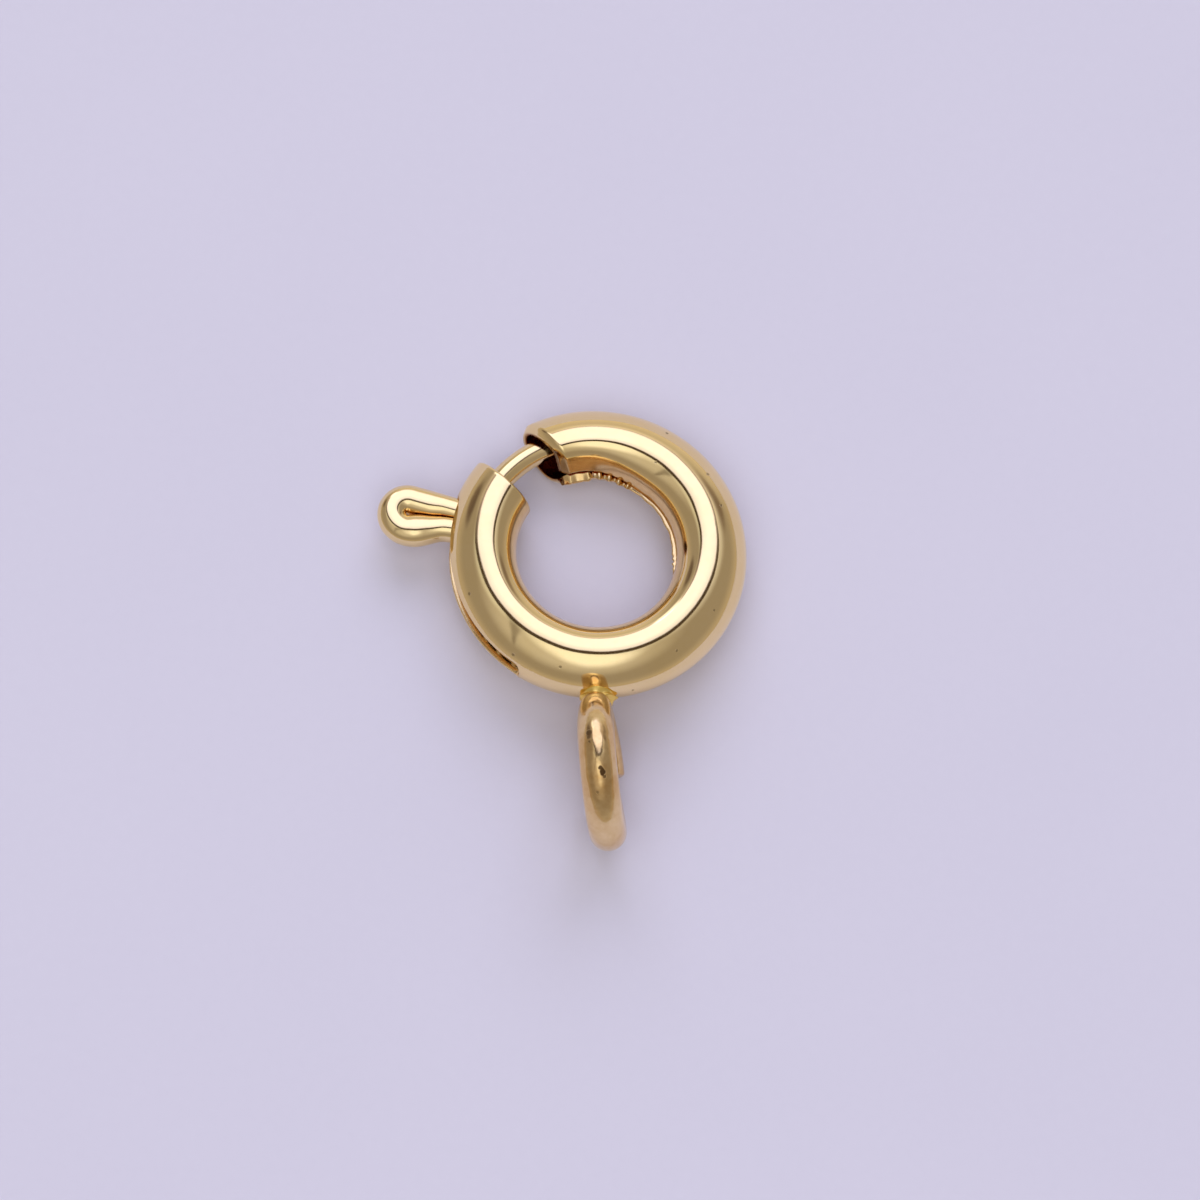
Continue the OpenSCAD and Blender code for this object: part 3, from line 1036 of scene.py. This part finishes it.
def linear(hex_colour: str) -> tuple[float, float, float, float]:
    """Turns an sRGB colour to a linear one.

    Args:
        hex_colour: the colour, such as #F0D9A8.

    Returns:
        Its red, green, blue and alpha, from 0 to 1.
    """
    parts = [int(hex_colour[k : k + 2], 16) / 255 for k in (1, 3, 5)]
    values = [p / 12.92 if p <= 0.04045 else ((p + 0.055) / 1.055) ** 2.4 for p in parts]
    return values[0], values[1], values[2], 1.0


class Graph:
    """A node tree that is being filled."""

    def __init__(self, tree: bpy.types.NodeTree) -> None:
        """Empties the tree, so that everything in it is put there below."""
        self.tree = tree
        tree.nodes.clear()

    def add(self, kind: str, settings: dict | None = None, **inputs: object) -> bpy.types.Node:
        """Adds one node.

        Args:
            kind: what Blender calls the node, after ShaderNode.
            settings: its own settings, such as operation or noise_dimensions.
            inputs: what goes into each socket, by the socket's name with _ for a blank, or by its number
                after an n. An output socket is linked and anything else is set as the value.

        Returns:
            The node.
        """
        node = self.tree.nodes.new("ShaderNode" + kind)
        for key, value in (settings or {}).items():
            setattr(node, key, value)
        for key, value in inputs.items():
            numbered = key[0] == "n" and key[1:].isdigit()
            socket = node.inputs[int(key[1:]) if numbered else key.replace("_", " ")]
            if isinstance(value, Socket):
                self.tree.links.new(value, socket)
            else:
                socket.default_value = value
        return node

    def maths(self, operation: str, *values: object, clamp: bool = False) -> Socket:
        """Result of a sum on numbers or sockets."""
        inputs = {f"n{k}": value for k, value in enumerate(values)}
        return self.add("Math", {"operation": operation, "use_clamp": clamp}, **inputs).outputs[0]

    def vector(self, operation: str, first: object, second: object) -> Socket:
        """Result of a sum on two vectors, which is a number for a distance or a dot product."""
        node = self.add("VectorMath", {"operation": operation}, n0=first, n1=second)
        return node.outputs[int(operation in ("DISTANCE", "DOT_PRODUCT"))]

    def scaled(self, vector: object, factor: object) -> Socket:
        """A vector times a number."""
        return self.add("VectorMath", {"operation": "SCALE"}, n0=vector, Scale=factor).outputs[0]

    def rise(self, value: Socket, start: float, stop: float, top: float = 1.0) -> Socket:
        """Smooth rise from 0 to top, as a value goes from start to stop."""
        settings = {"interpolation_type": "SMOOTHSTEP"}
        return self.add("MapRange", settings, n0=value, n1=start, n2=stop, n3=0.0, n4=top).outputs[0]

    def place_in_mm(self) -> Socket:
        """The place on the clasp or the floor, in millimetres."""
        return self.scaled(self.add("TexCoord").outputs["Object"], 1 / MM)

    def noise(self, where: object, per_mm: float, detail: float, roughness: float = 0.5) -> Socket:
        """Noise with a given number of waves to the millimetre, from 0 to 1."""
        node = self.add("TexNoise", None, Vector=where, Scale=per_mm, Detail=detail, Roughness=roughness)
        return node.outputs[0]

    def marks(self, along: float, across: float, detail: float) -> Socket:
        """Fine marks along the metal: noise that is stretched along it.

        Args:
            along: waves to the millimetre along the metal.
            across: waves to the millimetre across it.
            detail: how many finer layers the noise has.

        Returns:
            The noise, from 0 to 1.
        """
        metal = self.add("UVMap", {"uv_map": "metal"}).outputs[0]
        stretched = self.add("Mapping", None, Vector=metal, Scale=(along, across, 1.0))
        return self.noise(stretched.outputs[0], 1.0, detail)

    def mix(self, share: object, first: object, second: object) -> Socket:
        """Mix of two colours, each a socket, an sRGB colour such as #F0D9A8 or a linear one."""
        first, second = (linear(c) if isinstance(c, str) else c for c in (first, second))
        return self.add("Mix", {"data_type": "RGBA"}, n0=share, n6=first, n7=second).outputs[2]

    def bump(
        self, height: Socket, mm: float, strength: float = 1.0, invert: bool = False, **under: Socket
    ) -> Socket:
        """Relief of a height in millimetres, on a Normal that may be given."""
        inputs = {"Strength": strength, "Distance": mm * MM, "Height": height}
        return self.add("Bump", {"invert": invert}, **inputs, **under).outputs[0]

    def surface(self, **inputs: object) -> None:
        """Adds the shader, with what goes into its sockets, and the output."""
        shader = self.add("BsdfPrincipled", None, **inputs)
        self.add("OutputMaterial", None, Surface=shader.outputs[0])


def new_material(name: str) -> tuple[bpy.types.Material, Graph]:
    """Makes an empty material.

    Args:
        name: its name.

    Returns:
        The material and the graph that fills it.
    """
    material = bpy.data.materials.new(name)
    material.use_nodes = True
    return material, Graph(material.node_tree)


@dataclass(frozen=True)
class Spot:
    """A small blemish of the plating."""

    place: tuple[float, float, float]
    radius: float
    depth: float


TUBE_SPOTS = (
    Spot((3.66, 2.85, 1.76), 0.035, 0.6),
    Spot((2.14, 3.87, 1.70), 0.03, 0.5),
    Spot((-2.17, 0.66, 1.93), 0.035, 0.5),
    Spot((-0.09, -1.09, 2.23), 0.03, 0.5),
    Spot((-1.16, -0.77, 2.03), 0.04, 0.5),
    Spot((2.59, -0.66, 2.17), 0.03, 0.45),
    Spot((3.46, 0.32, 2.06), 0.03, 0.45),
    Spot((2.44, 4.66, 1.35), 0.035, 0.6),
    Spot((3.37, 3.63, 1.59), 0.03, 0.5),
    Spot((1.60, -1.53, 1.81), 0.03, 0.5),
)
BAIL_SPOTS = (
    Spot((0.80, -3.76, 3.69), 0.07, 0.9),
    Spot((0.74, -3.66, 3.72), 0.045, 0.85),
    Spot((0.85, -3.85, 3.68), 0.04, 0.7),
    Spot((0.48, -2.83, 3.59), 0.07, 0.8),
    Spot((0.49, -2.95, 3.61), 0.055, 0.7),
    Spot((0.51, -3.06, 3.63), 0.04, 0.6),
    Spot((1.00, -2.90, 3.60), 0.045, 0.6),
    Spot((0.68, -4.20, 3.55), 0.035, 0.4),
)


@dataclass(frozen=True)
class GoldPlate:
    """Brass with bright plating of pale gold, tumbled to a polish.

    The eye sees a clear but slightly wavy mirror, fine draw marks along the metal, a warmer and duller
    colour painted for shade and reflection in nooks, red-brown painted shade inside, and here and there a
    pit.
    """

    name: str
    colour: str = "#F8DEAA"
    second_colour: str = "#F4D89C"
    # colour painted for shade and reflected light, where the mask on the mesh says
    shade_and_reflection_colour: str = "#C8862F"
    # the darkest painted shade, deep inside the tube
    deep_shade_colour: str = "#9A3F28"
    pit_colour: str = "#4A2F16"
    roughness: float = 0.1
    nook_roughness: float = 0.2
    clouds_per_mm: float = 0.8
    specks_per_mm: float = 7.0
    wave_length: float = 0.55
    wave_height: float = 0.0022
    mark_width: float = 0.05
    mark_height: float = 0.0003
    spots: tuple[Spot, ...] = ()

    def build(self) -> bpy.types.Material:
        """Makes the material.

        Returns:
            The material.
        """
        material, g = new_material(self.name)
        in_mm = g.place_in_mm()
        nook = g.add("Attribute", {"attribute_name": "painted_shade_and_reflection"}).outputs["Fac"]
        cloud = g.noise(in_mm, self.clouds_per_mm, 3.0)
        speck = g.noise(in_mm, self.specks_per_mm, 4.0, 0.6)
        tint = g.maths("MULTIPLY_ADD", speck, 0.3, g.maths("MULTIPLY", cloud, 0.7))
        tint = g.maths("MULTIPLY_ADD", tint, 2.2, -0.6, clamp=True)
        # painted shade and reflection: the mask on the mesh, made uneven by the specks
        uneven_shade_and_reflection = g.maths("MULTIPLY", nook, g.maths("MULTIPLY_ADD", speck, 1.2, 0.4), clamp=True)
        pit = self.pits(g, in_mm, speck)
        colour = g.mix(tint, self.colour, self.second_colour)
        colour = g.mix(uneven_shade_and_reflection, colour, self.shade_and_reflection_colour)
        # painted shade: dark red-brown where the mask is all but full, inside the tube and the bore
        colour = g.mix(g.maths("GREATER_THAN", nook, 0.95), colour, self.deep_shade_colour)
        colour = g.mix(pit, colour, self.pit_colour)

        rough = g.maths("MULTIPLY_ADD", speck, 0.05, self.roughness - 0.025)
        rough = g.maths("MULTIPLY_ADD", uneven_shade_and_reflection, self.nook_roughness, rough)
        rough = g.maths("MULTIPLY_ADD", pit, 0.4, rough)

        relief = g.bump(g.noise(in_mm, 1 / self.wave_length, 2.0, 0.4), self.wave_height)
        relief = g.bump(g.marks(0.35, 1 / self.mark_width, 2.0), self.mark_height, Normal=relief)
        relief = g.bump(pit, 0.006, invert=True, Normal=relief)
        g.surface(Base_Color=colour, Metallic=1.0, Roughness=rough, Normal=relief)
        return material

    def pits(self, g: Graph, in_mm: Socket, speck: Socket) -> object:
        """Adds the pits: each is a small ragged spot about its place.

        Args:
            g: the tree.
            in_mm: the place on the clasp, in millimetres.
            speck: fine noise that makes the edges ragged.

        Returns:
            How deep in a pit the surface is, from 0 to 1.
        """
        total: object = 0.0
        for spot in self.spots:
            away = g.vector("DISTANCE", in_mm, spot.place)
            ragged = g.maths("MULTIPLY_ADD", speck, -2.2 * spot.radius, away)
            inside = g.rise(ragged, spot.radius * 0.1, spot.radius * -0.3, spot.depth)
            total = g.maths("MAXIMUM", total, inside)
        return total


@dataclass(frozen=True)
class SpringSteel:
    """Drawn steel wire, bright and slightly warm, with fine die marks along it."""

    name: str = "spring_steel_drawn"
    colour: str = "#DDD3BE"
    second_colour: str = "#B9AC92"
    roughness: float = 0.2

    def build(self) -> bpy.types.Material:
        """Makes the material.

        Returns:
            The material.
        """
        material, g = new_material(self.name)
        marks = g.marks(1.0, 60.0, 3.0)
        colour = g.mix(marks, self.colour, self.second_colour)
        rough = g.maths("MULTIPLY_ADD", marks, 0.15, self.roughness - 0.07)
        g.surface(Base_Color=colour, Metallic=1.0, Roughness=rough, Normal=g.bump(marks, 0.0005))
        return material


@dataclass(frozen=True)
class MattPaper:
    """Smooth matt card, pale lilac grey, with a faint fibre grain of about a quarter of a millimetre."""

    name: str = "card_matt_coated"
    colour: str = "#DAD7E9"
    second_colour: str = "#D4D1E4"
    fibres_per_mm: float = 4.0
    clouds_per_mm: float = 0.12

    def build(self) -> bpy.types.Material:
        """Makes the material.

        Returns:
            The material.
        """
        material, g = new_material(self.name)
        in_mm = g.place_in_mm()
        fibre = g.noise(in_mm, self.fibres_per_mm, 3.0)
        cloud = g.noise(in_mm, self.clouds_per_mm, 2.0)
        share = g.maths("MULTIPLY_ADD", cloud, 0.6, g.maths("MULTIPLY", fibre, 0.4))
        colour = g.mix(share, self.colour, self.second_colour)
        relief = g.bump(fibre, 0.004, 0.3)
        g.surface(Base_Color=colour, Roughness=0.85, Specular_IOR_Level=0.25, Normal=relief)
        return material


# Floor, light and camera


def direction(azimuth: float, from_zenith: float) -> Vector:
    """Direction from the clasp, by the angles round from +X and down from overhead, in degrees."""
    a, z = radians(azimuth), radians(from_zenith)
    return Vector((sin(z) * cos(a), sin(z) * sin(a), cos(z)))


@dataclass(frozen=True)
class Glow:
    """A soft oval patch of light or shade on the tent round the clasp.

    It has its middle's azimuth and angle from overhead, its half width and half height, all in degrees, its
    colour as radiance, its soft edge as a share of its size, and its turn about its middle in degrees.
    """

    azimuth: float
    from_zenith: float
    width: float
    height: float
    colour: tuple[float, float, float]
    edge: float = 0.5
    turn: float = 0.0

    def axes(self) -> tuple[Vector, Vector, Vector]:
        """Axes of the patch.

        Returns:
            The direction of its middle, its sideways axis and its upright axis.
        """
        a, w = radians(self.azimuth), radians(self.turn)
        middle = direction(self.azimuth, self.from_zenith)
        level = Vector((-sin(a), cos(a), 0))
        upright = middle.cross(level)
        return middle, level * cos(w) + upright * sin(w), upright * cos(w) - level * sin(w)


@dataclass
class Studio:
    """The pale floor, the soft light tent and the camera over it."""

    sizes: ClaspSizes
    floor_half: float = 1.5
    photo_px: float = 1200.0
    px_per_mm: float = 43.15
    ring_px: tuple[float, float] = (596.1, 553.8)
    camera_mm: float = 120.0
    camera_lean: float = 12.0
    camera_left: float = 3.4
    horizon: tuple[float, float, float, float] = (0.50, 0.44, 0.38, 1.0)
    overhead: tuple[float, float, float, float] = (0.345, 0.31, 0.28, 1.0)
    dimming: tuple[float, float] = (-0.02, 0.42)
    darkest: tuple[float, float, float] = (0.07, 0.05, 0.035)

    def camera(self) -> None:
        """Makes the camera, which looks down on the clasp, a little from the bail's side."""
        lean, left = radians(self.camera_lean), radians(self.camera_left)
        back = Vector((-sin(left) * cos(lean), -sin(lean), cos(lean) * cos(left))).normalized()
        ring = Vector(self.sizes.rest_centre) * MM
        right = Vector((0, 1, 0)).cross(back).normalized()
        aside, above = self.photo_px / 2 - self.ring_px[0], self.ring_px[1] - self.photo_px / 2
        aim = ring + MM / self.px_per_mm * (aside * right + above * back.cross(right))
        place = ring + back * self.camera_mm * MM
        data = bpy.data.cameras.new("camera")
        data.sensor_width = 36.0
        data.lens = data.sensor_width * self.camera_mm / (self.photo_px / self.px_per_mm)
        data.clip_start, data.clip_end = 0.005, 10.0
        looking = (aim - place).normalized()
        side = looking.cross(Vector((0, 1, 0))).normalized()
        turn = Matrix((side, side.cross(looking), -looking)).transposed()
        cam = add_object("camera", data)
        cam.matrix_world = Matrix.Translation(place) @ turn.to_4x4()
        bpy.context.scene.camera = cam

    def floor(self) -> None:
        """Makes the floor as a grid of a few quads."""
        n = 5
        x = np.linspace(-self.floor_half, self.floor_half, n)
        gx, gy = np.meshgrid(x, x, indexing="ij")
        mesh = bpy.data.meshes.new("floor")
        points = np.stack([gx, gy, 0 * gx], -1).reshape(-1, 3)
        mesh.from_pydata(points.tolist(), [], grid_faces(n, n, False)[:, ::-1].tolist())
        obj = add_object("floor", mesh)
        mesh.materials.append(MattPaper().build())

    def glows(self) -> list[Glow]:
        """The soft patches that the polished metal mirrors."""
        return [
            Glow(80, 80, 34, 22, (0.22, 0.21, 0.19), 1.0),
            Glow(240, 16, 32, 30, (0.28, 0.29, 0.30), 1.2),
            Glow(270, 7, 13, 20, (0.58, 0.63, 0.68), 1.0),
            Glow(128, 29, 15, 14, (0.30, 0.34, 0.36), 0.9),
            Glow(137, 70, 8, 9, (-0.2, -0.2, -0.18), 0.9),
            Glow(45, 64, 9, 9, (-0.13, -0.14, -0.13), 0.9),
            Glow(174, 20, 1.5, 34, (-0.32, -0.32, -0.32), 0.8, 58),
            Glow(48, 36, 13, 18, (0.42, 0.45, 0.52), 1.4),
            Glow(88, 35.5, 29, 29.5, (-2, -2, -2), 0.1),
            Glow(88, 47, 30, 23.5, (0.36, 0.34, 0.40), 0.6),
            Glow(88, 39.5, 25, 24.5, (1.0, 1.06, 1.46), 0.14),
            Glow(111, 60, 6, 6, (0.8, 0.9, 1.1), 0.7),
        ]

    def tent(self) -> None:
        """Makes the world: light that dims from the horizon to overhead, with the soft patches in it."""
        world = bpy.data.worlds.new("tent")
        bpy.context.scene.world = world
        world.use_nodes = True
        g = Graph(world.node_tree)
        way = g.add("TexCoord").outputs["Generated"]
        height = g.add("SeparateXYZ", None, Vector=way).outputs[2]
        colour = g.mix(g.rise(height, *self.dimming), self.horizon, self.overhead)
        for glow in self.glows():
            middle, sideways, upright = glow.axes()
            ahead = g.maths("MAXIMUM", g.vector("DOT_PRODUCT", way, middle), 0.02)
            squares = []
            for axis, half in ((sideways, glow.width), (upright, glow.height)):
                edge = g.maths("MULTIPLY", ahead, tan(radians(half)))
                part = g.maths("DIVIDE", g.vector("DOT_PRODUCT", way, axis), edge)
                squares.append(g.maths("MULTIPLY", part, part))
            out = g.maths("SQRT", g.maths("ADD", *squares))
            share = g.rise(out, 1.0 + glow.edge / 2, 1.0 - glow.edge / 2)
            colour = g.vector("ADD", colour, g.scaled(glow.colour, share))
            colour = g.vector("MAXIMUM", colour, self.darkest)
        background = g.add("Background", None, Color=colour, Strength=1.0)
        g.add("OutputWorld", None, Surface=background.outputs[0])

    def soft_box(self, name: str, azimuth: float, from_zenith: float, distance: float, half: tuple) -> None:
        """Makes an oval area light that looks at the clasp, unseen in its polish.

        Its power is pi times its area, which is a radiance of 1.

        Args:
            name: name of the light.
            azimuth: where it stands round the clasp, in degrees from +X.
            from_zenith: its angle from straight up, in degrees.
            distance: its distance in metres.
            half: its half width and half height in degrees, as seen from the clasp.
        """
        away = direction(azimuth, from_zenith)
        data = bpy.data.lights.new(name, "AREA")
        data.shape = "ELLIPSE"
        data.size, data.size_y = (2 * distance * tan(radians(angle)) for angle in half)
        data.energy = np.pi**2 * data.size * data.size_y / 4
        obj = add_object(name, data)
        obj.location = away * distance
        obj.rotation_mode = "QUATERNION"
        obj.rotation_quaternion = away.to_track_quat("Z", "Y")
        obj.visible_camera = obj.visible_glossy = False

    def build(self) -> None:
        """Makes the whole studio."""
        self.floor()
        self.tent()
        self.soft_box("floor_key", 88, 46, 0.4, (25, 20))
        self.soft_box("floor_fill", 250, 20, 0.5, (30, 30))
        self.camera()
        scene = bpy.context.scene
        scene.view_settings.view_transform = "Standard"
        scene.view_settings.look = "None"


# The whole clasp


def dress(obj: bpy.types.Object, finish: bpy.types.Material, body: str, slot: str, *nodes: str) -> None:
    """Gives a piece its looks and its place in the assembly.

    Args:
        obj: the piece.
        finish: its material.
        body: the body that it rides on.
        slot: its material slot; not used.
        nodes: the solids that it stands for.
    """
    obj.data.materials.append(finish)
    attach(obj, body)
    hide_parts(*nodes)
    LOG.info("%s: %d faces", obj.name, len(obj.data.polygons))


def main() -> None:
    """Builds the studio and then the clasp, piece by piece."""
    logging.basicConfig(level=logging.INFO, format="%(message)s")
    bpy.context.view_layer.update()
    sizes = ClaspSizes()
    Studio(sizes).build()

    tube_finish = GoldPlate("gold_plated_brass_rolled", roughness=0.08, spots=TUBE_SPOTS).build()
    # its deep orange for the mask paints shade and golden reflection between the legs and inside the tube
    wire_finish = GoldPlate(
        "gold_plated_brass_wire", shade_and_reflection_colour="#E8A838", mark_width=0.03, wave_height=0.0008
    ).build()
    # its bright yellow for the mask paints a yellow reflection near its root
    bail_finish = GoldPlate(
        "gold_plated_brass_jump_ring",
        second_colour="#CFA160",
        shade_and_reflection_colour="#FFD04C",
        roughness=0.16,
        wave_length=0.42,
        wave_height=0.022,
        spots=BAIL_SPOTS,
    ).build()
    solder_finish = GoldPlate(
        "gold_solder_flowed",
        colour="#FCE08A",
        second_colour="#F8D060",
        shade_and_reflection_colour="#F0B840",
        roughness=0.4,
        wave_length=0.22,
        wave_height=0.004,
    ).build()
    dress(RolledTube(sizes).build(), tube_finish, "case", "case", "ring_case")
    bail = Bail(sizes)
    dress(bail.build(), bail_finish, "case", "case", "ring_case")
    dress(bail.build_solder(), solder_finish, "case", "case", "ring_case")
    dress(TriggerWire(sizes).build(), wire_finish, "slider", "wire", "tongue")

    spring = CoilSpring(sizes)
    coil = spring.build()
    coil.data.materials.append(SpringSteel().build())
    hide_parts("return_spring")
    stop, tail = spring.ends()
    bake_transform(coil)
    LOG.info("%s: %d faces", coil.name, len(coil.data.polygons))


if __name__ == "__main__":
    main()
